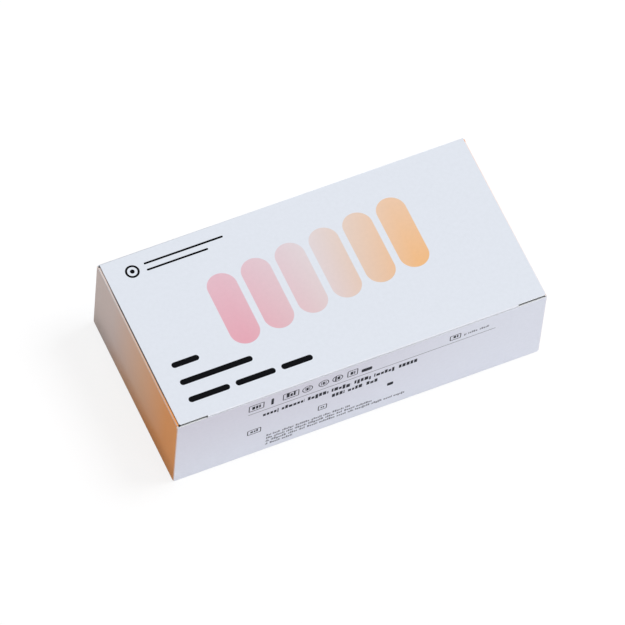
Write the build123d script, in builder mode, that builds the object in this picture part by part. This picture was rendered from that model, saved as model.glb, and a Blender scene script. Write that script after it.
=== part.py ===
from build123d import *
from math import cos, radians, tan
import os

os.makedirs("parts", exist_ok=True)

# A shallow tuck-top carton for test kits, cut and creased from one sheet of coated board.
# It stands closed on its glued bottom. X runs along the carton, the lid is hinged at the back (+Y),
# Z points up, and the origin is the middle of the bottom face.
# All lengths are in millimetres and all angles in degrees.

# Outside of the closed carton
length = 160.0
depth = 80.0
height = 43.0

# The board, and the radius inside a crease
board = 0.4
fold_inner = 0.1

# The lid panel and the fits round it
lid_left_inset = 1.1
lid_right_inset = 0.45
lid_corner = 0.9
lid_gap = 0.1
front_gap = 0.05
front_edge_drop = 1.1
neck_lean = 45.0
neck_gap = 0.05

# The tuck flap, which leans in behind the front wall and has a slit at each end of its crease
tuck_depth = 15.0
tuck_lean = 6.0
tuck_end_inset = 0.4
tuck_corner = 9.0
slit_length = 12.1
slit_width = 0.22
slit_drop = 1.5

# The dust flaps, folded in from the end walls under the lid
dust_length = 38.0
dust_taper = 12.0
dust_corner = 5.0
shoulder_length = 13.0
shoulder_step = 3.0
root_length = 0.8
root_clearance = 0.1
hinge_clearance = 0.4
swing_clearance = 0.2

# The side seam, glued inside the back wall at its right end
seam_inset = 0.3
glue_flap_width = 14.0
glue_flap_taper = 12.0

# The glued bottom: two large flaps that hook into each other, on two small ones from the end walls
large_flap_inset = 0.7
hook_reach = 9.0
hook_slant = 6.0
hook_gap = 0.3
small_flap_length = 34.0
small_flap_taper = 40.0
small_flap_gap = 1.0
tongue_reach = 10.0
tongue_length = 34.0
tongue_lap = 3.0
crease_width = 0.6
crease_depth = 0.1

# Places worked out from those sizes
half_length = length / 2
half_depth = depth / 2
fold_outer = fold_inner + board
fold_stub = 3 * fold_outer
small_flap_level = board
wall_bottom = small_flap_level + fold_outer
front_top = height - front_edge_drop
dust_top = height - board - lid_gap
dust_fold_start = dust_top - fold_outer
hinge_fold_start = height - fold_outer
lid_half_length = half_length - (lid_left_inset + lid_right_inset) / 2
lid_middle = (lid_left_inset - lid_right_inset) / 2
tuck_half_length = lid_half_length - tuck_end_inset
slit_start = lid_half_length - slit_length
neck_level = front_top + neck_gap
neck_drop = height - neck_level
tuck_face = half_depth - board - front_gap
front_crease = tuck_face + neck_drop * tan(radians(neck_lean))
tuck_tip = height - tuck_depth * cos(radians(tuck_lean))
tuck_tip_face = tuck_face - (neck_level - tuck_tip) * tan(radians(tuck_lean))
tuck_reach = half_depth + tuck_face + neck_drop * tan(radians(tuck_lean))
slit_edge = half_depth - board - slit_width
slit_level = height - slit_drop
root_edge = half_depth - board - root_clearance
hinge_edge = half_depth - 2 * board - hinge_clearance
swing_edge = tuck_reach * cos(radians(tuck_lean)) - board - swing_clearance - half_depth
overrun = 2 * board


def board_outline(*points):
    """Draw a creased board's section, one thickness wide on the left of a line along its outer face."""
    outer_points = [Vector(*point) for point in points]
    runs = [(end - start).normalized() for start, end in zip(outer_points, outer_points[1:])]
    lefts = [Vector(-run.Y, run.X) for run in runs]
    sides = zip([lefts[0], *lefts], [*lefts, lefts[-1]])
    inner_points = [
        point + (before + after) * (board / (1 + before.dot(after)))
        for point, (before, after) in zip(outer_points, sides)
    ]
    outer_face = FilletPolyline(*outer_points, radius=fold_outer)
    inner_face = FilletPolyline(*inner_points, radius=fold_inner)
    Line(outer_face @ 0, inner_face @ 0)
    Line(outer_face @ 1, inner_face @ 1)


# One dust flap, on the left end. Its shoulder stands behind the front wall, where the tuck flap's slit
# takes it. The step past the shoulder and the taper at the hinge let it fold in under the lid.
with BuildPart() as dust_flap:
    with BuildSketch(Plane.XZ):
        with BuildLine():
            board_outline(
                (-half_length + dust_length, dust_top),
                (-half_length, dust_top),
                (-half_length, dust_top - fold_stub),
            )
        make_face()
    extrude(amount=half_depth, both=True)
    with BuildSketch():
        with BuildLine():
            free_end = -half_length + dust_length
            shoulder_end = -half_length + shoulder_length
            Polyline(
                (-half_length - overrun, hinge_edge),
                (-half_length - overrun, -root_edge),
                (-half_length + root_length, -root_edge),
                (-half_length + root_length, -swing_edge),
                (shoulder_end, -swing_edge),
                (shoulder_end + shoulder_step, -swing_edge + shoulder_step),
                (free_end, -swing_edge + 2 * shoulder_step),
                (free_end, hinge_edge - dust_length * tan(radians(dust_taper))),
                (-half_length + root_length, hinge_edge),
                close=True,
            )
        make_face()
        fillet(vertices().group_by(Axis.X)[-1], radius=dust_corner)
    extrude(amount=height, mode=Mode.INTERSECT)

# The glue flap, folded in from the right end wall and stuck to the inside of the back wall.
with BuildPart() as glue_flap:
    with BuildSketch(Plane.XY.offset(wall_bottom)):
        with BuildLine():
            board_outline(
                (half_length, half_depth - board - fold_stub),
                (half_length, half_depth - board),
                (half_length - glue_flap_width, half_depth - board),
            )
        make_face()
    extrude(amount=hinge_fold_start - wall_bottom)
    with BuildSketch(Plane.XZ):
        with BuildLine():
            glue_flap_end = half_length - glue_flap_width
            rise = glue_flap_width * tan(radians(glue_flap_taper))
            Polyline(
                (half_length, wall_bottom),
                (half_length - fold_outer, wall_bottom),
                (glue_flap_end, wall_bottom + rise),
                (glue_flap_end, hinge_fold_start - rise),
                (half_length - fold_outer, hinge_fold_start),
                (half_length, hinge_fold_start),
                close=True,
            )
        make_face()
    extrude(amount=-depth, mode=Mode.INTERSECT)

# One large bottom flap, on the front wall. Its free edge steps forward at the left and back at the right,
# and the other one, turned half way round, fits that step.
with BuildPart() as large_flap:
    with BuildSketch(Plane.YZ):
        with BuildLine():
            board_outline(
                (-half_depth, wall_bottom + fold_stub),
                (-half_depth, 0),
                (hook_reach, 0),
            )
        make_face()
    extrude(amount=half_length - large_flap_inset, both=True)
    with BuildSketch():
        with BuildLine():
            Polyline(
                (-half_length, -half_depth),
                (half_length, -half_depth),
                (half_length, -hook_reach - hook_gap / 2),
                (hook_slant - hook_gap / 2, -hook_reach - hook_gap / 2),
                (-hook_slant - hook_gap / 2, hook_reach - hook_gap / 2),
                (-half_length, hook_reach - hook_gap / 2),
                close=True,
            )
        make_face()
    extrude(amount=height, mode=Mode.INTERSECT)
    # The slanted crease that lets the flap fold flat with the small flap glued to it
    with BuildSketch():
        with BuildLine():
            Line(
                (-half_length + fold_outer, -half_depth + fold_outer),
                (-half_length + fold_outer + half_depth + hook_reach, hook_reach + fold_outer),
            )
        trace(line_width=crease_width)
    extrude(amount=crease_depth, mode=Mode.SUBTRACT)
    # The tongue past the free edge, which lies on the other flap inside the carton
    with BuildSketch(Plane.XY.offset(board)):
        with BuildLine():
            tongue_start = hook_slant + tongue_lap
            tongue_edge = -hook_reach + tongue_reach
            Polyline(
                (tongue_start, -hook_reach - tongue_lap),
                (tongue_start + tongue_length, -hook_reach - tongue_lap),
                (tongue_start + tongue_length, -hook_reach),
                (tongue_start + tongue_length - tongue_lap, tongue_edge),
                (tongue_start + tongue_lap, tongue_edge),
                (tongue_start, -hook_reach),
                close=True,
            )
        make_face()
    extrude(amount=board)

# One small bottom flap, on the left end wall, inside the large ones.
with BuildPart() as small_flap:
    with BuildSketch(Plane.XZ):
        with BuildLine():
            board_outline(
                (-half_length, wall_bottom + fold_stub),
                (-half_length, small_flap_level),
                (-half_length + small_flap_length, small_flap_level),
            )
        make_face()
    extrude(amount=half_depth, both=True)
    with BuildSketch():
        with BuildLine():
            root_half = half_depth - small_flap_gap
            end_half = root_half - small_flap_length * tan(radians(small_flap_taper))
            Polyline(
                (-half_length - overrun, -root_half),
                (-half_length + fold_outer, -root_half),
                (-half_length + small_flap_length, -end_half),
                (-half_length + small_flap_length, end_half),
                (-half_length + fold_outer, root_half),
                (-half_length - overrun, root_half),
                close=True,
            )
        make_face()
    extrude(amount=height, mode=Mode.INTERSECT)

# The folded blank without its lid: four walls round a glued corner, with the flaps above on them.
with BuildPart() as carton_body:
    with BuildSketch(Plane.XY.offset(wall_bottom)):
        with BuildLine():
            board_outline(
                (half_length - seam_inset, half_depth),
                (-half_length, half_depth),
                (-half_length, -half_depth),
                (half_length, -half_depth),
                (half_length, half_depth - board - fold_stub / 2),
            )
        make_face()
    extrude(amount=hinge_fold_start - wall_bottom)
    # The front wall's raw edge is lower, because the lid's front crease lies over it
    with BuildSketch(Plane.XY.offset(front_top)):
        with Locations((0, -root_edge)):
            Rectangle(length + overrun, depth, align=(Align.CENTER, Align.MAX))
    extrude(amount=height, mode=Mode.SUBTRACT)
    # The end walls stop where the dust flaps' folds begin
    with BuildSketch(Plane.XY.offset(dust_fold_start)):
        with Locations((0, (hinge_edge - root_edge) / 2)):
            Rectangle(length + overrun, hinge_edge + root_edge)
    extrude(amount=height, mode=Mode.SUBTRACT)
    # The back wall's half of the hinge fold, cut on the mitre that runs through the hinge line
    with BuildSketch(Plane.YZ.offset(lid_middle)):
        with BuildLine():
            board_outline(
                (half_depth, height - fold_stub),
                (half_depth, height),
                (half_depth - fold_stub, height),
            )
        make_face()
    hinge_fold = extrude(amount=lid_half_length, both=True, mode=Mode.PRIVATE)
    mitre = Plane(origin=(0, half_depth, height), z_dir=(0, -1, 1))
    add(split(hinge_fold, bisect_by=mitre, keep=Keep.BOTTOM, mode=Mode.PRIVATE))
    add(glue_flap.part)
    add(dust_flap.part)
    mirror(dust_flap.part, about=Plane.YZ)
    add(large_flap.part)
    add(large_flap.part, rotation=(0, 0, 180))
    add(small_flap.part)
    mirror(small_flap.part, about=Plane.YZ)

# The lid panel and its tuck flap, from the same sheet. It is a part of its own because it swings.
# The front crease stands over the front wall's edge, and the neck under it leads in behind the wall.
with BuildPart() as lid:
    with BuildSketch(Plane.YZ.offset(lid_middle)):
        with BuildLine():
            board_outline(
                (half_depth, height - fold_stub),
                (half_depth, height),
                (-front_crease, height),
                (-tuck_face, neck_level),
                (-tuck_tip_face, tuck_tip),
            )
        make_face()
    extrude(amount=lid_half_length, both=True)
    split(bisect_by=mitre, keep=Keep.TOP)
    # The slits: the crease is cut away at each end, which leaves the lid panel round corners there
    with BuildSketch(Plane.XY.offset(slit_level)):
        with Locations((lid_middle, 0)):
            Rectangle(length, depth, align=(Align.CENTER, Align.MAX))
            Rectangle(2 * slit_start, depth, align=(Align.CENTER, Align.MAX), mode=Mode.SUBTRACT)
        with Locations((lid_middle, half_depth - slit_edge)):
            RectangleRounded(2 * lid_half_length, depth, lid_corner, mode=Mode.SUBTRACT)
    extrude(amount=height, mode=Mode.SUBTRACT)
    # Under the lid panel the slits reach back past the inside of the crease, down to the flap's ears
    with BuildSketch(Plane.XY.offset(slit_level)):
        with Locations((lid_middle, -slit_edge + fold_outer)):
            Rectangle(length, depth, align=(Align.CENTER, Align.MAX))
            Rectangle(2 * slit_start, depth, align=(Align.CENTER, Align.MAX), mode=Mode.SUBTRACT)
    extrude(amount=height - board - slit_level, mode=Mode.SUBTRACT)
    # The tuck flap's rounded corners
    with BuildSketch(Plane.XZ):
        with Locations((lid_middle, tuck_tip - overrun)):
            Rectangle(length, slit_level - tuck_tip + overrun, align=(Align.CENTER, Align.MIN))
        with BuildSketch(mode=Mode.SUBTRACT):
            with Locations((lid_middle, tuck_tip)):
                Rectangle(2 * tuck_half_length, slit_level - tuck_tip, align=(Align.CENTER, Align.MIN))
            fillet(vertices().group_by(Axis.Y)[0], radius=tuck_corner)
    extrude(amount=half_depth, mode=Mode.SUBTRACT)

carton_body.part.label = "carton_body"
lid.part.label = "lid"
export_step(carton_body.part, "parts/carton_body.step")
export_step(lid.part, "parts/lid.step")
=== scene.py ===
# %% [markdown]
# A folding carton for a test kit, dressed and lit
#
# The real carton is one sheet of coated board. It was printed flat, cut and creased by a die, glued at one
# corner, and folded shut. Its lid hangs on a crease at the back and locks at the front.
#
# The panels are already modelled to size, so this lesson gives them what a press and a folder give board:
# ink, a satin coating, bare cut edges, folds that catch the light, and a strip of board along the hinge's
# crease.
#
# The imported model is loaded first, and its box is kept, because nothing made later may stand outside it.

# %% Load the carton
import math

import bmesh
import bpy
from mathutils import Matrix, Vector


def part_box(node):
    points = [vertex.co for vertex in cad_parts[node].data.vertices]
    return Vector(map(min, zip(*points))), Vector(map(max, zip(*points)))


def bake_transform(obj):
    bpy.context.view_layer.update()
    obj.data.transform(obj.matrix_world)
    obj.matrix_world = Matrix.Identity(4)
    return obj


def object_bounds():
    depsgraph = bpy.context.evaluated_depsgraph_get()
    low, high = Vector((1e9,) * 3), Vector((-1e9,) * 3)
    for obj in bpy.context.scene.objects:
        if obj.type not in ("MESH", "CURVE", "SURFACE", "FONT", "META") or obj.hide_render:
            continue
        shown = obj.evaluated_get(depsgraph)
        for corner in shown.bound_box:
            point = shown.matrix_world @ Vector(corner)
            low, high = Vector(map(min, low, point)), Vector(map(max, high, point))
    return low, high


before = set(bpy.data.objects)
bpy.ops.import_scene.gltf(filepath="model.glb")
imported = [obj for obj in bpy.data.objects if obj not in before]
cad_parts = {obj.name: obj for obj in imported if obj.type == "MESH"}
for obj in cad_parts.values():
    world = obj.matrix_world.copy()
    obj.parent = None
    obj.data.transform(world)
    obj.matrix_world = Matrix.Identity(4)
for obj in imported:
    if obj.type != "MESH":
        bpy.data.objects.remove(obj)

cad_low, cad_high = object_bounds()
length, depth, height = cad_high - cad_low
print("carton, metres:", round(length, 4), "x", round(depth, 4), "x", round(height, 4))

# %% [markdown]
# Small sizes that the box of the model doesn't tell are named here once. They repeat the board that the
# carton was folded from: its thickness, and the radius on the outside and the inside of a fold.

# %% Board and folds
MM = 0.001
BOARD = 0.4 * MM
FOLD_OUTER = 0.5 * MM
FOLD_INNER = 0.1 * MM
DUST_FLAP_TOP = height - FOLD_OUTER
print("board, mm:", BOARD / MM, "fold, mm:", FOLD_OUTER / MM)

# %% [markdown]
# The photograph looks down on the front left corner through a very long lens, so the carton's edges stay
# almost parallel. A camera like that could be placed by eye. It is safer to work it out: the box has seven
# corners in view, and one set of angle, distance and focal length puts all seven within half a pixel.
#
# Blender's camera looks along its own -Z, so its matrix is the three directions right, up and back, with the
# place as the fourth column.

# %% Camera
PHOTO_PIXELS = 625
FOCAL_PIXELS = 7822
SENSOR_WIDTH = 36
CAMERA_AZIMUTH = math.radians(-29.32)
CAMERA_ELEVATION = math.radians(58.73)
CAMERA_ROLL = math.radians(6.17)
CAMERA_DISTANCE = 3.1311
AIM_RIGHT = -0.00148
AIM_UP = 0.00951
CLIP_START = 0.1
CLIP_END = 20


def camera_directions(azimuth, elevation, roll):
    """Right, up and back of a camera that looks at the origin from that azimuth and elevation."""
    back = Vector((
        math.sin(azimuth) * math.cos(elevation),
        -math.cos(azimuth) * math.cos(elevation),
        math.sin(elevation),
    ))
    level = Vector((math.cos(azimuth), math.sin(azimuth), 0))
    upright = back.cross(level)
    right = level * math.cos(roll) + upright * math.sin(roll)
    up = upright * math.cos(roll) - level * math.sin(roll)
    return right, up, back


def place_camera():
    """The photograph's camera."""
    right, up, back = camera_directions(CAMERA_AZIMUTH, CAMERA_ELEVATION, CAMERA_ROLL)
    place = right * AIM_RIGHT + up * AIM_UP + back * CAMERA_DISTANCE
    data = bpy.data.cameras.new("Camera")
    data.sensor_fit = "HORIZONTAL"
    data.sensor_width = SENSOR_WIDTH
    data.lens = FOCAL_PIXELS / PHOTO_PIXELS * SENSOR_WIDTH
    data.clip_start = CLIP_START
    data.clip_end = CLIP_END
    camera = bpy.data.objects.new("Camera", data)
    turned = Matrix((right, up, back)).transposed().to_4x4()
    camera.matrix_world = Matrix.Translation(place) @ turned
    bpy.context.scene.collection.objects.link(camera)
    return camera


camera = place_camera()
bpy.context.scene.camera = camera
bpy.context.scene.view_settings.view_transform = "Standard"
print("lens, mm:", round(camera.data.lens, 1))

# %% [markdown]
# Materials and light both need node trees. A tree is easier to read when one short line makes one node, so
# there are three small tools. The first joins or fills a socket, the second makes a node and feeds it, and
# the third makes a step of arithmetic.

# %% Tools for node trees
def feed(tree, value, socket):
    """Joins an output to a socket, or writes a plain value into the socket."""
    if isinstance(value, bpy.types.NodeSocket):
        tree.links.new(value, socket)
    else:
        socket.default_value = value


def add(tree, kind, outlet=0, inputs=(), **settings):
    """Makes a node, sets its settings, feeds its inputs by name or number, and gives one output."""
    node = tree.nodes.new(kind)
    for name, value in settings.items():
        setattr(node, name, value)
    for name, value in dict(inputs).items():
        feed(tree, value, node.inputs[name])
    return node.outputs[outlet] if len(node.outputs) else node


def sums(tree, operation, *values):
    """One step of arithmetic."""
    return add(tree, "ShaderNodeMath", inputs=enumerate(values), operation=operation)


print("tools for node trees:", feed.__name__, add.__name__, sums.__name__)

# %% [markdown]
# The floor and the world have two jobs that pull apart. They light the carton at a plain level, and they are
# the white that the picture shows around it. Turning the light up to get white would bleach the print.
#
# Light Path keeps the two jobs apart. A ray from the camera, or one that gloss sends, meets white. Any other
# ray meets the quiet level that lights the board. On the floor, the camera meets a part of the real shading
# as well, so the shadow is still there.

# %% World and floor
WHITE = (1, 1, 1, 1)
FILL_LIGHT = 0.35
FLOOR_COLOUR = (0.8, 0.8, 0.81, 1)
FLOOR_SHADING = (0.18, 0.18, 0.184, 1)
FLOOR_GLOW = 0.83
FLOOR_SIDE = 6
FLOOR_DROP = 0.02 * MM


def seen_directly(tree):
    """1 for a ray that shows what it meets: from the camera, off gloss, or through glass."""
    path = tree.nodes.new("ShaderNodeLightPath")
    either = sums(tree, "MAXIMUM", path.outputs["Is Camera Ray"], path.outputs["Is Glossy Ray"])
    return sums(tree, "MAXIMUM", either, path.outputs["Is Transmission Ray"])


def light_the_world():
    """White to look at, and an even soft light from all round."""
    world = bpy.data.worlds.new("Studio")
    world.use_nodes = True
    tree = world.node_tree
    tree.nodes.clear()
    strength = add(tree, "ShaderNodeMapRange", inputs={
        "Value": seen_directly(tree), "To Min": FILL_LIGHT, "To Max": 1.0,
    })
    light = add(tree, "ShaderNodeBackground", inputs={"Color": WHITE, "Strength": strength})
    add(tree, "ShaderNodeOutputWorld", inputs={"Surface": light})
    bpy.context.scene.world = world


def floor_material():
    """White paper that lights the carton from below, and shows as white with a soft shadow."""
    material = bpy.data.materials.new("Floor")
    material.use_nodes = True
    tree = material.node_tree
    tree.nodes.clear()
    bounce = add(tree, "ShaderNodeBsdfDiffuse", inputs={"Color": FLOOR_COLOUR})
    shading = add(tree, "ShaderNodeBsdfDiffuse", inputs={"Color": FLOOR_SHADING})
    glow = add(tree, "ShaderNodeEmission", inputs={"Color": WHITE, "Strength": FLOOR_GLOW})
    shown = add(tree, "ShaderNodeAddShader", inputs={0: shading, 1: glow})
    mixed = add(tree, "ShaderNodeMixShader", inputs={0: seen_directly(tree), 1: bounce, 2: shown})
    add(tree, "ShaderNodeOutputMaterial", inputs={"Surface": mixed})
    return material


def lay_floor():
    """A square of floor just under the carton."""
    mesh = bpy.data.meshes.new("Floor")
    half = FLOOR_SIDE / 2
    corners = [(-half, -half), (half, -half), (half, half), (-half, half)]
    mesh.from_pydata([(x, y, -FLOOR_DROP) for x, y in corners], [], [(0, 1, 2, 3)])
    mesh.materials.append(floor_material())
    floor = bpy.data.objects.new("Floor", mesh)
    bpy.context.scene.collection.objects.link(floor)


light_the_world()
lay_floor()
print("fill light:", FILL_LIGHT)

# %% [markdown]
# Three soft lamps give the carton its form. The key comes from the right, high up: it makes the lid the
# brightest face and leaves the left end in shade. A low lamp in front lifts the front wall, and a little more
# so at its right. One behind lifts the back wall and the lid's back fold.
#
# The lid is evenly bright from end to end, so the key is a sun: its light doesn't fall off with distance. A
# wide disc in place of a point makes its shadows soft.

# %% Lamps
KEY_FROM = Vector((0.5, -0.04, 0.86))
KEY_DISC = math.radians(26)
KEY_STRENGTH = 1.96
LOW_LAMP_SIZE = 0.9
FRONT_PLACE = Vector((0.8, -1.9, 0.5))
FRONT_WATTS = 12.0
BACK_PLACE = Vector((0.1, 2.0, 0.5))
BACK_WATTS = 13.0


def add_lamp(name, kind, place, aim):
    """A lamp that faces a point of the carton."""
    lamp = bpy.data.objects.new(name, bpy.data.lights.new(name, kind))
    lamp.location = place
    lamp.rotation_euler = (aim - place).to_track_quat("-Z", "Y").to_euler()
    bpy.context.scene.collection.objects.link(lamp)
    return lamp


def add_low_lamp(name, place, watts):
    """A soft square lamp near the floor."""
    lamp = add_lamp(name, "AREA", place, middle)
    lamp.data.shape = "SQUARE"
    lamp.data.size = LOW_LAMP_SIZE
    lamp.data.energy = watts


middle = (cad_low + cad_high) / 2
key = add_lamp("Key", "SUN", middle + KEY_FROM, middle)
key.data.angle = KEY_DISC
key.data.energy = KEY_STRENGTH
add_low_lamp("Front", FRONT_PLACE, FRONT_WATTS)
add_low_lamp("Back", BACK_PLACE, BACK_WATTS)
print("key height, degrees:", round(math.degrees(math.asin(KEY_FROM.normalized().z))))

# %% [markdown]
# Print on a carton has no thickness, so it isn't modelled: it is ink in the board's material. A picture could
# carry it, but a picture has a resolution and has to be kept beside the file. Here each shape is a distance
# instead. A distance to a rounded bar is below zero inside the bar and above zero outside, at any zoom.
#
# Two distances joined by their minimum are both shapes at once, and one step at zero turns them into ink.
# So a whole panel of bars costs a few sums and stays sharp.

# %% A rounded bar as a distance
def group_with(name, inputs, outlet):
    """An empty node group with these inputs and one output, and its two ends."""
    group = bpy.data.node_groups.new(name, "ShaderNodeTree")
    for label, kind in inputs.items():
        group.interface.new_socket(label, in_out="INPUT", socket_type=kind)
    group.interface.new_socket(outlet, in_out="OUTPUT", socket_type="NodeSocketFloat")
    start = group.nodes.new("NodeGroupInput")
    end = group.nodes.new("NodeGroupOutput")
    return group, start.outputs, end.inputs[outlet]


def vectors(tree, operation, *values, outlet=0):
    """One step of vector arithmetic."""
    return add(tree, "ShaderNodeVectorMath", outlet, enumerate(values), operation=operation)


def parts_of(tree, vector):
    """The three numbers of a vector."""
    split = tree.nodes.new("ShaderNodeSeparateXYZ")
    feed(tree, vector, split.inputs[0])
    return split.outputs[0], split.outputs[1], split.outputs[2]


NOTHING = (0, 0, 0)
FLAT = (1, 1, 0)


def make_bar_group():
    """Distance in millimetres to a bar with rounded corners."""
    inputs = {
        "Place": "NodeSocketVector",
        "Middle": "NodeSocketVector",
        "Half size": "NodeSocketVector",
        "Corner": "NodeSocketFloat",
    }
    group, given, result = group_with("Rounded bar", inputs, "Distance")
    offset = vectors(group, "ABSOLUTE", vectors(group, "SUBTRACT", given["Place"], given["Middle"]))
    beyond = vectors(group, "SUBTRACT", offset, given["Half size"])
    beyond = vectors(group, "ADD", beyond, given["Corner"])
    across, up, _ = parts_of(group, beyond)
    past_corner = vectors(group, "MULTIPLY", vectors(group, "MAXIMUM", beyond, NOTHING), FLAT)
    outside = vectors(group, "LENGTH", past_corner, outlet="Value")
    inside = sums(group, "MINIMUM", sums(group, "MAXIMUM", across, up), 0.0)
    total = sums(group, "ADD", outside, inside)
    feed(group, sums(group, "SUBTRACT", total, given["Corner"]), result)
    return group


bar_group = make_bar_group()
print("nodes in the bar group:", len(bar_group.nodes))

# %% [markdown]
# A line of text reads, from a step away, as words made of small dark marks of uneven height. No letter is
# needed for that look. One dimensional Voronoi patterns cut a line into cells of uneven length: a coarse one
# makes the words and a fine one makes the marks in them. The distance to the nearest cell edge is the gap.
#
# The fine pattern also has a random colour for each cell. Its first number decides whether a mark rises above
# the line, and its second one whether it drops below, as tall and low letters do. Every line starts further
# along the pattern than the one above it, so no two lines are alike.

# %% A row of words
LINE_RISE = 0.42
TALL_SHARE = 0.4
LOW_SHARE = 0.14
SPREAD_OF_MARKS = 0.6
SPREAD_OF_WORDS = 0.9
SHIFT_OF_LINES = 7.3


def row_of_cells(group, along, size, spread, feature, outlet):
    """Cells of about that size along a line."""
    return add(group, "ShaderNodeTexVoronoi", outlet, {
        "W": sums(group, "DIVIDE", along, size), "Scale": 1.0, "Randomness": spread,
    }, voronoi_dimensions="1D", feature=feature)


def gap_between(group, along, size, spread, gap):
    """Distance in millimetres to the gaps between cells, above zero inside a gap."""
    to_edge = row_of_cells(group, along, size, spread, "DISTANCE_TO_EDGE", "Distance")
    half_gap = sums(group, "MULTIPLY", gap, 0.5)
    return sums(group, "SUBTRACT", half_gap, sums(group, "MULTIPLY", to_edge, size))


def most_of(group, *values):
    """The largest of some numbers."""
    largest = values[0]
    for value in values[1:]:
        largest = sums(group, "MAXIMUM", largest, value)
    return largest


def make_words_group():
    """Distance in millimetres to a line of words."""
    inputs = {
        "Place": "NodeSocketVector",
        "Low corner": "NodeSocketVector",
        "High corner": "NodeSocketVector",
        "Mark": "NodeSocketFloat",
        "Mark gap": "NodeSocketFloat",
        "Word": "NodeSocketFloat",
        "Word gap": "NodeSocketFloat",
    }
    group, given, result = group_with("Row of words", inputs, "Distance")
    along, down, _ = parts_of(group, given["Place"])
    left, top, _ = parts_of(group, given["Low corner"])
    right, bottom, _ = parts_of(group, given["High corner"])
    shifted = sums(group, "ADD", along, sums(group, "MULTIPLY", top, SHIFT_OF_LINES))

    mark_gap = gap_between(group, shifted, given["Mark"], SPREAD_OF_MARKS, given["Mark gap"])
    word_gap = gap_between(group, shifted, given["Word"], SPREAD_OF_WORDS, given["Word gap"])
    chance = row_of_cells(group, shifted, given["Mark"], SPREAD_OF_MARKS, "F1", "Color")
    rises, drops, _ = parts_of(group, chance)
    step = sums(group, "MULTIPLY", sums(group, "SUBTRACT", bottom, top), LINE_RISE)
    tall = sums(group, "MULTIPLY", sums(group, "LESS_THAN", rises, TALL_SHARE), step)
    low = sums(group, "MULTIPLY", sums(group, "LESS_THAN", drops, LOW_SHARE), step)
    above = sums(group, "SUBTRACT", sums(group, "SUBTRACT", top, tall), down)
    below = sums(group, "SUBTRACT", down, sums(group, "ADD", bottom, low))
    before = sums(group, "SUBTRACT", left, along)
    after = sums(group, "SUBTRACT", along, right)
    feed(group, most_of(group, above, below, before, after, mark_gap, word_gap), result)
    return group


words_group = make_words_group()
print("nodes in the words group:", len(words_group.nodes))

# %% [markdown]
# A panel's print is laid out the way a printer's sheet is: in millimetres from the panel's left and top
# edges. The panel class below holds the place on the panel and gathers shapes. Its methods are the few
# marks that this carton needs: a bar, a bar with round ends, a line of words, and the outline of a shape.
# Ink soaks a little sideways, so an edge fades over a few hundredths of a millimetre.

# %% A panel to print on
INK_EDGE = 0.03
MARK_GAP_SHARE = 0.24
WORD_GAP_SHARE = 0.85


class Panel:
    """Gathers distances to shapes, in millimetres from the panel's left and top edges."""

    def __init__(self, tree, place):
        self.tree = tree
        self.place = place
        self.across, self.down, _ = parts_of(tree, place)

    def bar(self, left, right, top, bottom, corner):
        """A bar between these edges."""
        node = self.tree.nodes.new("ShaderNodeGroup")
        node.node_tree = bar_group
        feed(self.tree, self.place, node.inputs["Place"])
        node.inputs["Middle"].default_value = ((left + right) / 2, (top + bottom) / 2, 0)
        node.inputs["Half size"].default_value = ((right - left) / 2, (bottom - top) / 2, 1)
        node.inputs["Corner"].default_value = corner
        return node.outputs["Distance"]

    def round_bar(self, left, right, top, bottom):
        """A bar with round ends between these edges, or a disc where they make a square."""
        return self.bar(left, right, top, bottom, min(right - left, bottom - top) / 2)

    def words(self, left, right, top, bottom, mark, word):
        """A line of words between these edges, of marks and words of about these lengths."""
        node = self.tree.nodes.new("ShaderNodeGroup")
        node.node_tree = words_group
        feed(self.tree, self.place, node.inputs["Place"])
        node.inputs["Low corner"].default_value = (left, top, 0)
        node.inputs["High corner"].default_value = (right, bottom, 0)
        node.inputs["Mark"].default_value = mark
        node.inputs["Mark gap"].default_value = mark * MARK_GAP_SHARE
        node.inputs["Word"].default_value = word
        node.inputs["Word gap"].default_value = mark * WORD_GAP_SHARE
        return node.outputs["Distance"]

    def outline(self, distance, stroke):
        """The edge of a shape, as a line of that width drawn inside it."""
        inner = sums(self.tree, "ADD", distance, stroke / 2)
        return sums(self.tree, "SUBTRACT", sums(self.tree, "ABSOLUTE", inner), stroke / 2)

    def together(self, distances):
        """All these shapes as one."""
        joined = distances[0]
        for distance in distances[1:]:
            joined = sums(self.tree, "MINIMUM", joined, distance)
        return joined

    def ink(self, distance, strength=1.0):
        """From a distance to an amount of ink: full inside the shape, none outside."""
        return add(self.tree, "ShaderNodeMapRange", inputs={
            "Value": distance, "From Min": INK_EDGE, "From Max": -INK_EDGE,
            "To Min": 0.0, "To Max": strength,
        }, interpolation_type="SMOOTHSTEP")


print("ink edge, mm:", INK_EDGE)

# %% [markdown]
# Inks are easiest to name as they look on a screen, from 0 to 255. A shader sums light, so it takes linear
# values, and the screen's curve is undone first. Where one ink lies over another, or runs into the next,
# two more tools mix them. The Mix node has a pair of sockets for each kind of value, all with the same
# names, so those for colours are picked by number.

# %% Inks
MIX_FIRST = 6
MIX_SECOND = 7
MIX_RESULT = 2
CURVE_STRAIGHT_TO = 0.04045
CURVE_SLOPE = 12.92
CURVE_OFFSET = 0.055
CURVE_POWER = 2.4


def linear(value):
    """One number from 0 to 255 on the screen's sRGB curve, as a share of the light."""
    share = value / 255
    if share <= CURVE_STRAIGHT_TO:
        return share / CURVE_SLOPE
    return ((share + CURVE_OFFSET) / (1 + CURVE_OFFSET)) ** CURVE_POWER


def colour(red, green, blue):
    """A colour read off as 0 to 255, in linear values."""
    return linear(red), linear(green), linear(blue), 1


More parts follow.
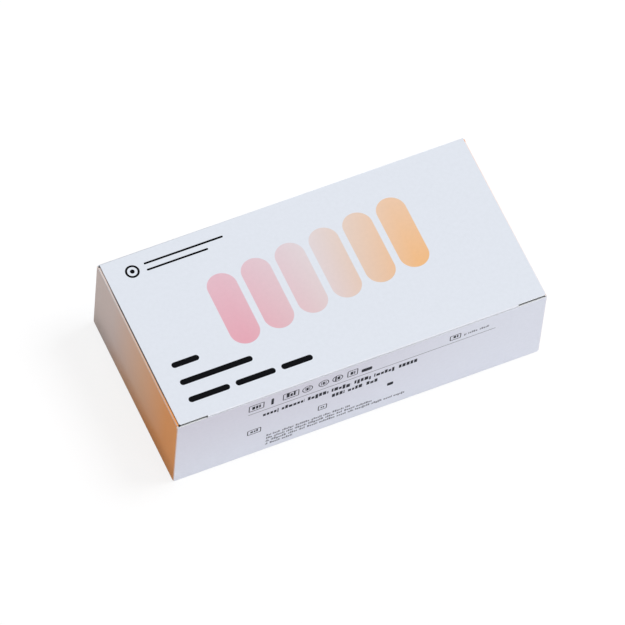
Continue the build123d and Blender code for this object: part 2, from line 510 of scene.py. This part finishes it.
def mix(tree, amount, first, second):
    """The second colour over the first, by an amount."""
    node = tree.nodes.new("ShaderNodeMix")
    node.data_type = "RGBA"
    feed(tree, amount, node.inputs["Factor"])
    feed(tree, first, node.inputs[MIX_FIRST])
    feed(tree, second, node.inputs[MIX_SECOND])
    return node.outputs[MIX_RESULT]


def ramp(tree, amount, stops):
    """A blend of inks along a run, from pairs of place and colour."""
    node = tree.nodes.new("ShaderNodeValToRGB")
    feed(tree, amount, node.inputs[0])
    elements = node.color_ramp.elements
    for index, (place, shade) in enumerate(stops):
        element = elements[index] if index < len(elements) else elements.new(place)
        element.position = place
        element.color = shade
    return node.outputs["Color"]


print("half grey, as a share of the light:", round(linear(128), 3))

# %% [markdown]
# The lid carries one large soft design: a flight of upright pills that climbs to the right. Their inks run
# from rose, through almost no ink, to orange, and each pill is lighter at its top.
#
# All six pills are one shape, so a single blend across the lid colours them. The fade follows their climb.

# %% Pills on the lid
PILLS = 6
PILL_WIDTH = 12.4
PILL_HEIGHT = 34.0
FIRST_PILL = 42.2
LAST_PILL = 118.8
FIRST_PILL_MIDDLE = 38.5
LAST_PILL_MIDDLE = 31.5
PILL_FADE = 0.72
PILL_INKS = [
    (0.0, colour(228, 168, 182)),
    (0.28, colour(225, 190, 197)),
    (0.5, colour(224, 208, 209)),
    (0.72, colour(229, 199, 178)),
    (1.0, colour(239, 187, 134)),
]


def print_pills(tree, panel, paper):
    """The flight of pills over the paper's colour."""
    shapes = []
    half = PILL_WIDTH / 2
    reach = PILL_HEIGHT / 2
    for number in range(PILLS):
        share = number / (PILLS - 1)
        across = FIRST_PILL + share * (LAST_PILL - FIRST_PILL)
        down = FIRST_PILL_MIDDLE + share * (LAST_PILL_MIDDLE - FIRST_PILL_MIDDLE)
        shapes.append(panel.round_bar(across - half, across + half, down - reach, down + reach))
    run = add(tree, "ShaderNodeMapRange", inputs={
        "Value": panel.across, "From Min": FIRST_PILL, "From Max": LAST_PILL,
    })
    climb = add(tree, "ShaderNodeMapRange", inputs={
        "Value": run, "To Min": FIRST_PILL_MIDDLE, "To Max": LAST_PILL_MIDDLE,
    })
    above = sums(tree, "SUBTRACT", panel.down, climb)
    fade = add(tree, "ShaderNodeMapRange", inputs={
        "Value": above, "From Min": -reach, "From Max": reach, "To Min": PILL_FADE, "To Max": 1.0,
    })
    amount = sums(tree, "MULTIPLY", panel.ink(panel.together(shapes)), fade)
    return mix(tree, amount, paper, ramp(tree, run, PILL_INKS))


print("pills on the lid:", PILLS)

# %% [markdown]
# The title is three lines in near black at the lower left, each word a bar. At the upper left is a small
# round emblem with two rules. They are printed last, over the pills.

# %% Title and emblem
BLACK_INK = colour(6, 7, 11)
TITLE_WORDS = [
    (9.0, 20.7, 52.4, 55.0),
    (9.0, 40.0, 60.8, 63.4),
    (9.0, 26.6, 69.2, 71.8),
    (29.2, 46.2, 69.2, 71.8),
    (48.8, 62.2, 69.2, 71.8),
]
EMBLEM = (9.0, 14.9, 5.0, 10.9)
EMBLEM_STROKE = 0.9
EMBLEM_CORE = (11.0, 12.9, 7.0, 8.9)
EMBLEM_RULES = [(17.6, 51.7, 5.9, 6.8), (17.6, 44.0, 9.0, 9.9)]
RULE_CORNER = 0.4


def print_lid(tree, panel, paper):
    """Everything printed on top of the lid, as one colour."""
    design = print_pills(tree, panel, paper)
    black = [panel.round_bar(*word) for word in TITLE_WORDS]
    black.append(panel.outline(panel.round_bar(*EMBLEM), EMBLEM_STROKE))
    black.append(panel.round_bar(*EMBLEM_CORE))
    black += [panel.bar(*rule, RULE_CORNER) for rule in EMBLEM_RULES]
    return mix(tree, panel.ink(panel.together(black)), design, BLACK_INK)


print("words in the title:", len(TITLE_WORDS))

# %% [markdown]
# The front wall carries the small print. Its marks come first: a row of outlined frames and rings with two
# solid ones among them, one more frame at the right, and three marks lower down. An outline is the edge of
# a shape, and what stands in it is a single short word.

# %% Marks on the front wall
STROKE = 0.4
MARKS_TOP = 4.2
MARKS_BOTTOM = 8.8
FRAME_MARKS = [(30.9, 37.6), (45.6, 52.6), (73.4, 78.0)]
RING_MARKS = [53.9, 60.9, 66.9]
SOLID_MARK = (40.6, 41.7)
HALF_MARK = 79.6
RIGHT_MARK = (117.9, 122.8, 5.3, 8.9)
LOWER_FRAMES = [(31.2, 37.2, 23.6, 27.2), (61.8, 65.7, 23.6, 27.2)]
LOWER_SOLID = (91.9, 94.6, 24.9, 27.0)
FRAME_MARGIN = 1.2
FRAME_CORNER = 0.5
FRAMED_MARK = 1.36
ONE_WORD = 400.0


def front_marks(panel):
    """The outlined and the solid marks, as a list of distances."""
    ring = MARKS_BOTTOM - MARKS_TOP
    frames = [(left, right, MARKS_TOP, MARKS_BOTTOM) for left, right in FRAME_MARKS]
    frames += [*LOWER_FRAMES, RIGHT_MARK]
    rings = [(left, left + ring, MARKS_TOP, MARKS_BOTTOM) for left in RING_MARKS]
    shapes = [panel.outline(panel.bar(*mark, FRAME_CORNER), STROKE) for mark in frames]
    shapes += [panel.outline(panel.round_bar(*mark), STROKE) for mark in rings]
    for left, right, top, bottom in frames + rings:
        inner = (left + FRAME_MARGIN, right - FRAME_MARGIN, top + FRAME_MARGIN, bottom - FRAME_MARGIN)
        shapes.append(panel.words(*inner, FRAMED_MARK, ONE_WORD))
    return shapes + [
        panel.bar(*SOLID_MARK, MARKS_TOP, MARKS_BOTTOM, FRAME_CORNER),
        panel.bar(*LOWER_SOLID, FRAME_CORNER),
        panel.bar(HALF_MARK, HALF_MARK + ring, MARKS_TOP + ring / 2, MARKS_BOTTOM, FRAME_CORNER),
    ]


print("rings on the front:", len(RING_MARKS))

# %% [markdown]
# Then come the lines: a hair line under the marks, two bold lines, four lines of fine text, and a short one
# at the right. Fine text is mostly paper, so its ink is a weaker grey.

# %% Lines on the front wall
GREY_INK = colour(48, 48, 56)
RIGHT_WORDS = (124.2, 135.1, 7.1, 8.1)
HAIR_LINE = (30.9, 138.1, 10.8, 11.15)
HAIR_CORNER = 0.1
BOLD_LINES = [(37.2, 104.6, 14.1, 15.8), (67.3, 87.3, 18.5, 20.2)]
BOLD_MARK = 1.65
BOLD_WORD = 10.5
FINE_LINES = [(39.7, 76.1, 31.9), (39.7, 86.4, 34.1), (39.7, 100.3, 36.3), (39.7, 51.4, 38.5)]
FINE_HEIGHT = 1.0
FINE_MARK = 0.85
FINE_WORD = 5.4
FINE_STRENGTH = 0.76


def print_front(tree, panel, paper):
    """Everything printed on the front wall, as one colour."""
    bold = [panel.words(*line, BOLD_MARK, BOLD_WORD) for line in BOLD_LINES]
    strong = panel.ink(panel.together(front_marks(panel) + bold))
    fine = [panel.words(*RIGHT_WORDS, FINE_MARK, FINE_WORD), panel.bar(*HAIR_LINE, HAIR_CORNER)]
    for left, right, top in FINE_LINES:
        fine.append(panel.words(left, right, top, top + FINE_HEIGHT, FINE_MARK, FINE_WORD))
    weak = panel.ink(panel.together(fine), FINE_STRENGTH)
    return mix(tree, sums(tree, "MAXIMUM", strong, weak), paper, GREY_INK)


print("fine lines on the front:", len(FINE_LINES))

# %% [markdown]
# The two ends are flooded with one blend of ink: nearly bare at one side, warm beige in the middle, and
# orange over the last fifth. Low on the wall the orange reaches further, and painted shade darkens the ink
# towards the floor. The sheet was laid out in half turns, so the blend on the right end runs the other way.

# %% Ink on the ends
END_INKS = [
    (0.0, colour(230, 214, 207)),
    (0.22, colour(231, 211, 203)),
    (0.57, colour(240, 191, 156)),
    (0.87, colour(246, 168, 103)),
    (1.0, colour(246, 166, 99)),
]
LOW_ORANGE = 0.19
LOW_PAINTED_SHADE = 0.12
LOW_FROM = 15.0
LOW_TO = 2.0
PLAIN_SHARE = 0.35


def end_ink(tree, x, y, z):
    """The blend on an end wall, darkened low down with painted shade. It runs to the front on the left end
    and to the back on the right one.
    """
    side = sums(tree, "SIGN", x)
    run = sums(tree, "ADD", sums(tree, "MULTIPLY", sums(tree, "DIVIDE", y, depth / MM), side), 0.5)
    low = add(tree, "ShaderNodeMapRange", inputs={
        "Value": z, "From Min": LOW_FROM, "From Max": LOW_TO,
    }, interpolation_type="SMOOTHSTEP")
    reach = add(tree, "ShaderNodeMapRange", inputs={
        "Value": run, "From Min": 0.0, "From Max": PLAIN_SHARE, "To Min": 0.0, "To Max": LOW_ORANGE,
    })
    blend = ramp(tree, sums(tree, "ADD", run, sums(tree, "MULTIPLY", low, reach)), END_INKS)
    # Painted shade: the ink darkens towards the floor.
    shade = sums(tree, "SUBTRACT", 1.0, sums(tree, "MULTIPLY", low, LOW_PAINTED_SHADE))
    return vectors(tree, "MULTIPLY", blend, shade)


print("inks in the blend:", len(END_INKS))

# %% [markdown]
# Now the board itself. Only its outer side was coated and printed. The inner side is bare fibre. The cut
# edges at the lid's short sides are grey: partly the board's greyer core, partly painted shade. A material
# could be put on chosen faces, but the folds would have to be sorted by hand. The board tells by itself: a
# point is printed where it lies on the carton's outer shell.
#
# Round a fold of radius r, a point whose normal leans by an angle lies r times (1 - cosine) inside the flat
# panel. So for each panel the depth below it is compared with that lean. Cut edges and inner faces never
# agree, so they stay bare.

# %% Where the printed side is
SHELL_TOLERANCE = 0.1
FACING = 0.2


def on_shell(tree, inward, facing):
    """1 on the outer side of a panel or of its fold, told by the depth and by how far it faces out."""
    lean = sums(tree, "MULTIPLY", sums(tree, "SUBTRACT", 1.0, facing), FOLD_OUTER / MM)
    off = sums(tree, "ABSOLUTE", sums(tree, "SUBTRACT", inward, lean))
    near = sums(tree, "LESS_THAN", off, SHELL_TOLERANCE)
    return sums(tree, "MULTIPLY", near, sums(tree, "GREATER_THAN", facing, FACING))


def place_and_normal(tree):
    """Place, in millimetres, and normal, as three numbers each, and then the place as one vector."""
    coordinates = tree.nodes.new("ShaderNodeTexCoord")
    point = vectors(tree, "SCALE", coordinates.outputs["Object"])
    point.node.inputs["Scale"].default_value = 1 / MM
    geometry = tree.nodes.new("ShaderNodeNewGeometry")
    normal = add(tree, "ShaderNodeVectorTransform", inputs={0: geometry.outputs["True Normal"]},
                 vector_type="NORMAL", convert_from="WORLD", convert_to="OBJECT")
    return parts_of(tree, point), parts_of(tree, normal), point


print("shell tolerance, mm:", SHELL_TOLERANCE)

# %% [markdown]
# Ink and coating are not flat. Ink lies a little unevenly on fibre. At a fold the coating is stretched, so
# the ink looks thinner there, and it cracks finely in places, which shows as paler, duller specks. The folds
# are paled further with a painted highlight, where their rounds catch the light.
#
# Both could be painted by hand. Noise does it from a few sizes instead, and a fold is found by its normal: on
# a flat panel the normal lies along one axis, and on the round of a fold it lies between two.

# %% Uneven ink, worn folds and painted fold highlights
WORN_AND_HIGHLIT_FOLD = colour(233, 236, 242)
INK_UNEVENNESS = 0.012
MOTTLE_SIZE = 1.6
MOTTLE_DETAIL = 3.0
MOTTLE_LOW = 0.3
MOTTLE_HIGH = 0.7
FOLD_BEGINS = 0.985
FOLD_FULL = 0.93
FOLD_STRETCH_AND_HIGHLIGHT = 0.35
FOLD_WEAR_AND_HIGHLIGHT = 0.65
WEAR_SIZE = 0.7
WEAR_DETAIL = 4.0
WEAR_LOW = 0.42
WEAR_HIGH = 0.68


def noise(tree, point, size, detail, stretch=None):
    """Soft noise whose features are about that many millimetres long, from 0 to 1."""
    if stretch:
        point = vectors(tree, "MULTIPLY", point, stretch)
    return add(tree, "ShaderNodeTexNoise", inputs={"Vector": point, "Scale": 1 / size, "Detail": detail})


def uneven(tree, inks, point):
    """The inks, a little lighter here and darker there."""
    lightness = add(tree, "ShaderNodeMapRange", inputs={
        "Value": noise(tree, point, MOTTLE_SIZE, MOTTLE_DETAIL),
        "From Min": MOTTLE_LOW, "From Max": MOTTLE_HIGH,
        "To Min": 1 - INK_UNEVENNESS, "To Max": 1 + INK_UNEVENNESS,
    })
    return vectors(tree, "MULTIPLY", inks, lightness)


def fold_amount(tree, normal):
    """0 on a flat panel and 1 on the round of a fold, where no axis holds the whole normal."""
    most = most_of(tree, *[sums(tree, "ABSOLUTE", part) for part in normal])
    return add(tree, "ShaderNodeMapRange", inputs={
        "Value": most, "From Min": FOLD_BEGINS, "From Max": FOLD_FULL,
    })


def wear_and_highlight_amount(tree, normal, point):
    """How pale a fold is, for stretched or cracked coating and as a painted highlight: 0 on a panel, more on
    a fold.
    """
    wear = add(tree, "ShaderNodeMapRange", inputs={
        "Value": noise(tree, point, WEAR_SIZE, WEAR_DETAIL),
        "From Min": WEAR_LOW, "From Max": WEAR_HIGH,
        "To Min": FOLD_STRETCH_AND_HIGHLIGHT, "To Max": FOLD_WEAR_AND_HIGHLIGHT,
    })
    return sums(tree, "MULTIPLY", fold_amount(tree, normal), wear)


# A fold's paleness is wear and painted highlight together.
print("wear of a fold, percent:", round(100 * FOLD_STRETCH_AND_HIGHLIGHT), "to", round(100 * FOLD_WEAR_AND_HIGHLIGHT))

# %% [markdown]
# The satin coating follows the board, so a lamp's reflection wavers over a few millimetres. Bare board is
# rough, with visible fibres. The lid's cut edges are greyer, partly for the core and partly as painted shade.
# The relief is far thinner than a line of the mesh could show, so it is bump.
#
# All of it is one Principled shader whose colour, roughness and bump are chosen by the printed mask.

# %% The board's material
BARE_BOARD = colour(228, 230, 233)
BARE_FIBRE = colour(217, 218, 219)
CUT_EDGE_AND_SHADE = colour(190, 187, 185)
COATED_ROUGHNESS = 0.5
BARE_ROUGHNESS = 0.85
WORN_DULLNESS = 0.4
COATING_IOR = 1.47
SHINE = 0.04
WAVE_SIZE = 5.0
WAVE_DETAIL = 2.0
WAVE_HEIGHT = 0.003 * MM
FIBRE_SIZE = 0.5
FIBRE_DETAIL = 4.0
FIBRE_STRETCH = (0.25, 1.0, 1.0)
FIBRE_LOW = 0.5
FIBRE_HIGH = 0.75
FIBRE_HEIGHT = 0.0035 * MM


def bare_board(tree, fibres):
    """The colour of bare board, with its fibres."""
    shown = add(tree, "ShaderNodeMapRange", inputs={
        "Value": fibres, "From Min": FIBRE_LOW, "From Max": FIBRE_HIGH,
    })
    return mix(tree, shown, BARE_BOARD, BARE_FIBRE)


def board_relief(tree, point, fibres):
    """A bump of long waves and fine fibres."""
    rise = sums(tree, "MULTIPLY", noise(tree, point, WAVE_SIZE, WAVE_DETAIL), WAVE_HEIGHT)
    rise = sums(tree, "ADD", rise, sums(tree, "MULTIPLY", fibres, FIBRE_HEIGHT))
    return add(tree, "ShaderNodeBump", inputs={"Height": rise, "Distance": 1.0})


def board_material(name, printed_side, printed_colour, cut_edge=None):
    """Board coated and printed where printed_side says, bare elsewhere, and grey where cut_edge says: core
    and painted shade.
    """
    material = bpy.data.materials.new(name)
    material.use_nodes = True
    tree = material.node_tree
    tree.nodes.clear()
    place, normal, point = place_and_normal(tree)
    printed = printed_side(tree, place, normal)
    wear_and_highlight = wear_and_highlight_amount(tree, normal, point)
    # The folds are paled for wear and with a painted highlight.
    inks = mix(tree, wear_and_highlight, uneven(tree, printed_colour(tree, place, normal), point), WORN_AND_HIGHLIT_FOLD)
    fibres = noise(tree, point, FIBRE_SIZE, FIBRE_DETAIL, FIBRE_STRETCH)
    bare = bare_board(tree, fibres)
    if cut_edge:
        bare = mix(tree, cut_edge(tree, place, normal), bare, CUT_EDGE_AND_SHADE)
    roughness = add(tree, "ShaderNodeMapRange", inputs={
        "Value": printed, "To Min": BARE_ROUGHNESS, "To Max": COATED_ROUGHNESS,
    })
    shader = add(tree, "ShaderNodeBsdfPrincipled", inputs={
        "Base Color": mix(tree, printed, bare, inks),
        "Roughness": sums(tree, "ADD", roughness, sums(tree, "MULTIPLY", wear_and_highlight, WORN_DULLNESS)),
        "Normal": board_relief(tree, point, fibres),
        "IOR": COATING_IOR,
        "Specular IOR Level": SHINE,
    })
    add(tree, "ShaderNodeOutputMaterial", inputs={"Surface": shader})
    print(name, "nodes:", len(tree.nodes))
    return material


print("roughness, coated:", COATED_ROUGHNESS, "bare:", BARE_ROUGHNESS)

# %% [markdown]
# The lid's outer shell is its top with the rounds of both folds, and the outside of the flap that tucks in.
# The tuck flap hangs below the panel and faces the front, so two comparisons find it.

# %% Material of the lid
PALE = colour(224, 229, 238)
PANEL_UNDERSIDE = (height - BOARD) / MM
FACES_ALONG = 0.9
LEANS_FRONT = -0.3
# A lighter pale on the lid's folds and tuck flap is painted light that lifts their shade.
FOLD_AND_FLAP_PAINTED_LIGHT = colour(231, 233, 243)


def lid_printed_side(tree, place, normal):
    """1 on the lid's coated side."""
    top = on_shell(tree, sums(tree, "SUBTRACT", height / MM, place[2]), normal[2])
    below = sums(tree, "LESS_THAN", place[2], PANEL_UNDERSIDE)
    flap = sums(tree, "MULTIPLY", below, sums(tree, "LESS_THAN", normal[1], LEANS_FRONT))
    return sums(tree, "MAXIMUM", top, flap)


def panel_place(tree, across, up, left, top):
    """A place on a panel, in millimetres from its left and top edges."""
    across = sums(tree, "SUBTRACT", across, left)
    down = sums(tree, "SUBTRACT", top, up)
    return add(tree, "ShaderNodeCombineXYZ", inputs={0: across, 1: down})


def lid_colour(tree, place, normal):
    """The lid's inks. The folds and the flap under it have no print, only a lighter pale ground, painted
    light that lifts their shade.
    """
    panel = Panel(tree, panel_place(tree, place[0], place[1], cad_low.x / MM, cad_high.y / MM))
    faces_up = sums(tree, "GREATER_THAN", normal[2], FACES_ALONG)
    return mix(tree, faces_up, FOLD_AND_FLAP_PAINTED_LIGHT, print_lid(tree, panel, PALE))


def lid_cut_edge(tree, place, normal):
    """1 on the cut edges at the lid's two short sides, which are greyed partly as painted shade."""
    return sums(tree, "GREATER_THAN", sums(tree, "ABSOLUTE", normal[0]), FACES_ALONG)


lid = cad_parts["lid"]
lid.data.materials.clear()
lid.data.materials.append(board_material("Printed board, lid", lid_printed_side, lid_colour, lid_cut_edge))

# %% [markdown]
# The front wall's pale ground is darkened towards the upper left with painted shade. It is the ground that
# the small print stands on.
#
# At the left the lid is a little short of the wall. That leaves a narrow groove, and the ink there is
# darkened with painted shade, except near the corners. The box of the lid tells where the groove is.

# %% Painted shade on the front wall and in the groove
FRONT_PALE = colour(228, 231, 242)
FRONT_PAINTED_SHADE = colour(218, 216, 228)
SHADE_FULL_AT = 45.0
SHADE_NONE_AT = 160.0
GROOVE_PAINTED_SHADE = colour(108, 104, 107)
GROOVE_BESIDE = 0.15
GROOVE_HALF = 0.42
GROOVE_CORE = GROOVE_HALF / 3
GROOVE_SHADE_STRENGTH = 0.95
GROOVE_SHADE_NONE = 35.0
GROOVE_SHADE_FULL = 20.0
lid_low, lid_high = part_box("lid")


def front_ground_and_shade(tree, panel):
    """The front wall's pale ground, with painted shade towards the upper left."""
    along = add(tree, "ShaderNodeMapRange", inputs={
        "Value": panel.across, "From Min": SHADE_NONE_AT, "From Max": SHADE_FULL_AT,
    }, interpolation_type="SMOOTHSTEP")
    up = add(tree, "ShaderNodeMapRange", inputs={
        "Value": panel.down, "From Min": height / MM, "From Max": 0.0,
    })
    return mix(tree, sums(tree, "MULTIPLY", along, up), FRONT_PALE, FRONT_PAINTED_SHADE)


def groove_shade_amount(tree, x, y):
    """How much painted shade darkens the groove beside the lid: most in its middle, none at its sides and
    ends.
    """
    middle_of_groove = lid_low.x / MM - GROOVE_BESIDE
    from_groove = sums(tree, "ABSOLUTE", sums(tree, "SUBTRACT", x, middle_of_groove))
    groove = add(tree, "ShaderNodeMapRange", inputs={
        "Value": from_groove, "From Min": GROOVE_HALF, "From Max": GROOVE_CORE,
        "To Min": 0.0, "To Max": GROOVE_SHADE_STRENGTH,
    }, interpolation_type="SMOOTHSTEP")
    shade_along_groove = add(tree, "ShaderNodeMapRange", inputs={
        "Value": sums(tree, "ABSOLUTE", y), "From Min": GROOVE_SHADE_NONE, "From Max": GROOVE_SHADE_FULL,
    }, interpolation_type="SMOOTHSTEP")
    return sums(tree, "MULTIPLY", groove, shade_along_groove)


# The groove's darkening is painted shade.
print("dust in the groove, percent:", round(100 * GROOVE_SHADE_STRENGTH))

# %% [markdown]
# The body's shell is four walls and the bottom. Where an end wall folds in to a dust flap, the ink of the end
# runs a few millimetres onto the flap, because a printer lets it bleed over the crease.

# %% Material of the body
BLEED = 5.0
END_EDGE = 0.3


def body_printed_side(tree, place, normal):
    """1 on the body's coated side."""
    x, y, z = place
    to_side = sums(tree, "ABSOLUTE", x)
    to_front = sums(tree, "ABSOLUTE", y)
    faces_side = sums(tree, "MULTIPLY", normal[0], sums(tree, "SIGN", x))
    faces_front = sums(tree, "MULTIPLY", normal[1], sums(tree, "SIGN", y))
    ends = on_shell(tree, sums(tree, "SUBTRACT", cad_high.x / MM, to_side), faces_side)
    walls = on_shell(tree, sums(tree, "SUBTRACT", cad_high.y / MM, to_front), faces_front)
    bottom = on_shell(tree, z, sums(tree, "MULTIPLY", normal[2], -1.0))
    flaps = on_shell(tree, sums(tree, "SUBTRACT", DUST_FLAP_TOP / MM, z), normal[2])
    flaps = sums(tree, "MULTIPLY", flaps, sums(tree, "GREATER_THAN", to_side, cad_high.x / MM - BLEED))
    return most_of(tree, ends, walls, bottom, flaps)


def bleeds_onto_flap(tree, place):
    """1 on the strip of a dust flap that the end's ink runs onto."""
    x, y, z = place
    high = sums(tree, "GREATER_THAN", z, (DUST_FLAP_TOP - FOLD_OUTER) / MM)
    outer = sums(tree, "GREATER_THAN", sums(tree, "ABSOLUTE", x), cad_high.x / MM - BLEED)
    between_walls = sums(tree, "LESS_THAN", sums(tree, "ABSOLUTE", y), (cad_high.y - BOARD) / MM)
    return sums(tree, "MULTIPLY", sums(tree, "MULTIPLY", high, outer), between_walls)


def body_colour(tree, place, normal):
    """The body's inks: the front's small print, the blend on the ends, and the pale ground elsewhere."""
    x, y, z = place
    panel = Panel(tree, panel_place(tree, x, z, cad_low.x / MM, cad_high.z / MM))
    on_front = sums(tree, "LESS_THAN", normal[1], -FACES_ALONG)
    walls = mix(tree, on_front, PALE, print_front(tree, panel, front_ground_and_shade(tree, panel)))
    beyond = sums(tree, "SUBTRACT", sums(tree, "ABSOLUTE", x), cad_high.x / MM - END_EDGE)
    wall_end = add(tree, "ShaderNodeMapRange", inputs={
        "Value": beyond, "From Min": -INK_EDGE, "From Max": INK_EDGE,
    })
    flap_end = bleeds_onto_flap(tree, place)
    # Painted shade darkens the groove beside the lid.
    groove_shade = sums(tree, "MULTIPLY", flap_end, groove_shade_amount(tree, x, y))
    ends = mix(tree, groove_shade, end_ink(tree, x, y, z), GROOVE_PAINTED_SHADE)
    return mix(tree, sums(tree, "MAXIMUM", wall_end, flap_end), walls, ends)


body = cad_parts["carton_body"]
body.data.materials.clear()
body.data.materials.append(board_material("Printed board, body", body_printed_side, body_colour))

# %% [markdown]
# The lid and the body are stiff, so an open lid would leave a wedge of air at the hinge. On the real sheet
# the board runs through there. A short curved strip of board lies over the round of the fold at the hinge.
#
# Its outer face lies a hair over the rounds of the fold, its long edges are sunk in the board, and it stops
# a hair short of the lid's two sides.

# %% The shape of the crease
CREASE_FROM = math.radians(14)
CREASE_TO = math.radians(76)
CREASE_STEPS = 24
CREASE_OVER = 0.015 * MM
CREASE_SHORT = 0.02 * MM
CREASE_ENDS = (lid_low.x + CREASE_SHORT, lid_high.x - CREASE_SHORT)
COATED, BARE = 0, 1


def crease_points(radius, x):
    """Points round the fold at one end of the strip."""
    points = []
    for step in range(CREASE_STEPS + 1):
        angle = CREASE_FROM + (CREASE_TO - CREASE_FROM) * step / CREASE_STEPS
        y = cad_high.y - FOLD_OUTER + radius * math.cos(angle)
        z = cad_high.z - FOLD_OUTER + radius * math.sin(angle)
        points.append((x, y, z))
    return points


def make_crease():
    """A closed curved strip along the hinge, coated outside and bare inside."""
    mesh = bpy.data.meshes.new("lid_crease")
    shape = bmesh.new()
    outer, inner = FOLD_OUTER + CREASE_OVER, FOLD_INNER - CREASE_OVER
    rows = [crease_points(radius, x) for radius in (outer, inner) for x in CREASE_ENDS]
    left_outer, right_outer, left_inner, right_inner = [
        [shape.verts.new(point) for point in row] for row in rows
    ]
    for step in range(CREASE_STEPS):
        after = step + 1
        coated = shape.faces.new((left_outer[step], right_outer[step], right_outer[after], left_outer[after]))
        coated.smooth = True
        coated.material_index = COATED
        sides = [
            (left_inner[step], left_inner[after], right_inner[after], right_inner[step]),
            (left_outer[step], left_outer[after], left_inner[after], left_inner[step]),
            (right_outer[step], right_inner[step], right_inner[after], right_outer[after]),
        ]
        for side in sides:
            shape.faces.new(side).material_index = BARE
    for end in (0, CREASE_STEPS):
        corners = (left_outer[end], left_inner[end], right_inner[end], right_outer[end])
        shape.faces.new(corners).material_index = BARE
    bmesh.ops.recalc_face_normals(shape, faces=shape.faces)
    shape.to_mesh(mesh)
    shape.free()
    crease = bpy.data.objects.new("lid_crease", mesh)
    bpy.context.scene.collection.objects.link(crease)
    return crease


crease = make_crease()
print("faces of the crease:", len(crease.data.polygons))

# %% [markdown]
# The strip is the same board as the rest, coated outside and bare inside, so it takes the board's material
# a point between them moves by its share of the way.

# %% The crease's board
def everywhere(tree, place, normal):
    """The whole face is coated."""
    return 1.0


def nowhere(tree, place, normal):
    """The whole face is bare."""
    return 0.0


def pale_only(tree, place, normal):
    """No print but the pale ground, as the output of a node, which is what the unevenness acts on."""
    return mix(tree, 0.0, PALE, PALE)


crease.data.materials.append(board_material("Coated crease", everywhere, pale_only))
crease.data.materials.append(board_material("Bare crease", nowhere, pale_only))
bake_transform(crease)
print("materials of the crease:", len(crease.data.materials))
